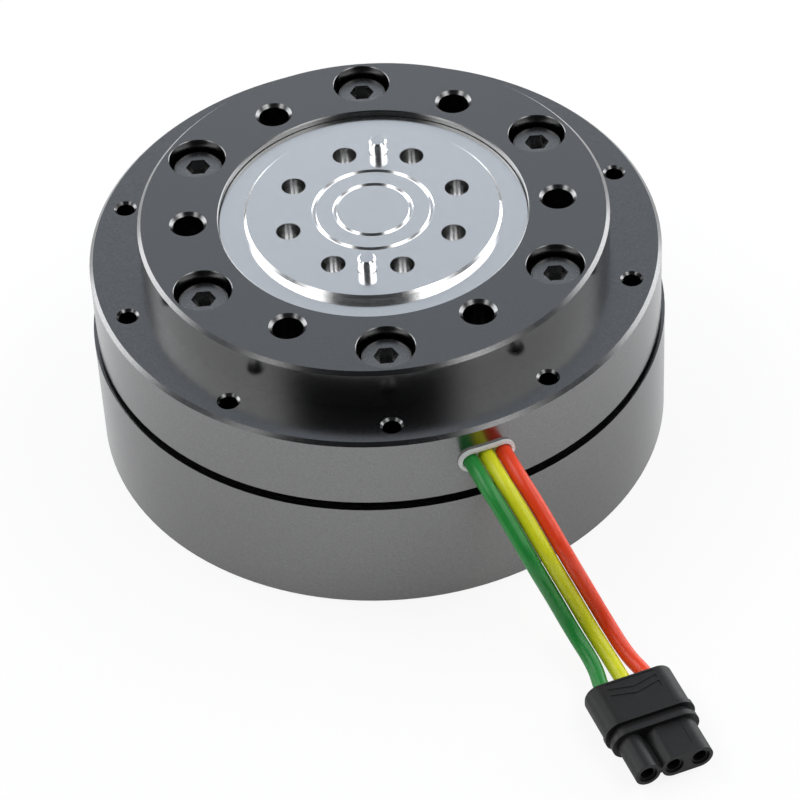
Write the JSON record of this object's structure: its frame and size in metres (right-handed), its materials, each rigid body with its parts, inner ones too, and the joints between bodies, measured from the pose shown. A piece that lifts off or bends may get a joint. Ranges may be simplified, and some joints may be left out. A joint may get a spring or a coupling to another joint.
{
  "type": "cycloidal gear motor",
  "caption": "Round flat gear motor: a brushless motor under a two-disc cycloidal reducer, with a threaded output flange, a mounting boss and a short three-wire lead with a plug.",
  "frame": {"origin": "on the output axis in the flat base plane", "axes": "+Z along the output axis, out of the output flange; +X through one of the boss's threaded holes"},
  "size_m": [0.081, 0.1181, 0.0383],
  "materials": {
    "case_anodised": "dark grey anodised aluminium, fine satin",
    "output_silver": "turned, clear anodised, satin",
    "bearing_steel": "ground",
    "gear_steel": "ground and hardened",
    "black_steel": "black oxide",
    "gasket_black": "matt",
    "lamination": "stacked sheet, varnished",
    "copper": "enamelled winding",
    "magnet": "nickel plated",
    "cage_brass": "machined",
    "grommet_white": "smooth",
    "wire_green": "silicone insulation",
    "wire_yellow": "silicone insulation",
    "wire_red": "silicone insulation",
    "plug_black": "moulded nylon",
    "contact_gold": "gold plated"
  },
  "bodies": {
    "housing": {"front_housing": "case_anodised", "rear_shell": "case_anodised", "joint_gasket": "gasket_black", "case_screws": "black_steel", "rear_screws": "black_steel", "ring_gear_body": "gear_steel", "ring_pins": "bearing_steel", "reducer_cover": "gear_steel", "cover_screws": "black_steel", "output_bearing_outer_ring": "bearing_steel", "rear_bearing_outer_ring": "bearing_steel", "stator_core": "lamination", "stator_coils": "copper", "cable_grommet": "grommet_white", "phase_leads": "wire_yellow", "wire_green": "wire_green", "wire_yellow": "wire_yellow", "wire_red": "wire_red", "plug_sheath": "plug_black", "plug_housing": "plug_black", "plug_sockets": "contact_gold"},
    "rotor": {"eccentric_shaft": "gear_steel", "rotor_hub": "output_silver", "rotor_yoke": "lamination", "rotor_magnets": "magnet", "front_bearing_inner_ring": "bearing_steel", "rear_bearing_inner_ring": "bearing_steel"},
    "output": {"output_bearing_inner_ring": "bearing_steel", "output_flange": "output_silver", "centre_cap": "output_silver", "dowel_pins": "bearing_steel", "drive_pins": "bearing_steel", "drive_rollers": "bearing_steel", "bearing_clip": "black_steel", "front_bearing_outer_ring": "bearing_steel"},
    "front_disc": {"cycloid_disc_front": "gear_steel"},
    "rear_disc": {"cycloid_disc_rear": "gear_steel"},
    "output_roller_set": {"output_bearing_rollers": "bearing_steel"},
    "front_bearing_set": {"front_bearing_balls": "bearing_steel", "front_bearing_cage": "cage_brass"},
    "rear_bearing_set": {"rear_bearing_balls": "bearing_steel", "rear_bearing_cage": "cage_brass"},
    "front_needle_set": {"needle_rollers_front": "bearing_steel", "needle_cage_front": "cage_brass"},
    "rear_needle_set": {"needle_rollers_rear": "bearing_steel", "needle_cage_rear": "cage_brass"}
  },
  "joints": [
    {"name": "rotor_spin", "type": "hinge", "parent": "housing", "child": "rotor", "pos_m": [0, 0, 0.02], "axis": [0, 0, 1], "continuous": true},
    {"name": "output_spin", "type": "hinge", "parent": "housing", "child": "output", "pos_m": [0, 0, 0.034], "axis": [0, 0, 1], "continuous": true},
    {"name": "front_disc_spin", "type": "hinge", "parent": "rotor", "child": "front_disc", "pos_m": [0.0007, 0, 0.0244], "axis": [0, 0, 1], "continuous": true},
    {"name": "rear_disc_spin", "type": "hinge", "parent": "rotor", "child": "rear_disc", "pos_m": [-0.0007, 0, 0.0209], "axis": [0, 0, 1], "continuous": true},
    {"name": "front_needle_spin", "type": "hinge", "parent": "rotor", "child": "front_needle_set", "pos_m": [0.0007, 0, 0.0244], "axis": [0, 0, 1], "continuous": true},
    {"name": "rear_needle_spin", "type": "hinge", "parent": "rotor", "child": "rear_needle_set", "pos_m": [-0.0007, 0, 0.0209], "axis": [0, 0, 1], "continuous": true},
    {"name": "output_roller_spin", "type": "hinge", "parent": "housing", "child": "output_roller_set", "pos_m": [0, 0, 0.0302], "axis": [0, 0, 1], "continuous": true},
    {"name": "front_bearing_spin", "type": "hinge", "parent": "housing", "child": "front_bearing_set", "pos_m": [0, 0, 0.0284], "axis": [0, 0, 1], "continuous": true},
    {"name": "rear_bearing_spin", "type": "hinge", "parent": "housing", "child": "rear_bearing_set", "pos_m": [0, 0, 0.0055], "axis": [0, 0, 1], "continuous": true}
  ],
  "couplings": [
    {"joint": "output_spin", "follows": "rotor_spin", "ratio": -0.043478},
    {"joint": "front_disc_spin", "follows": "rotor_spin", "ratio": -1.0435},
    {"joint": "rear_disc_spin", "follows": "rotor_spin", "ratio": -1.0435},
    {"joint": "front_needle_spin", "follows": "rotor_spin", "ratio": -0.60152},
    {"joint": "rear_needle_spin", "follows": "rotor_spin", "ratio": -0.60152},
    {"joint": "output_roller_spin", "follows": "rotor_spin", "ratio": -0.020501},
    {"joint": "front_bearing_spin", "follows": "rotor_spin", "ratio": 0.39289},
    {"joint": "rear_bearing_spin", "follows": "rotor_spin", "ratio": 0.40833}
  ]
}
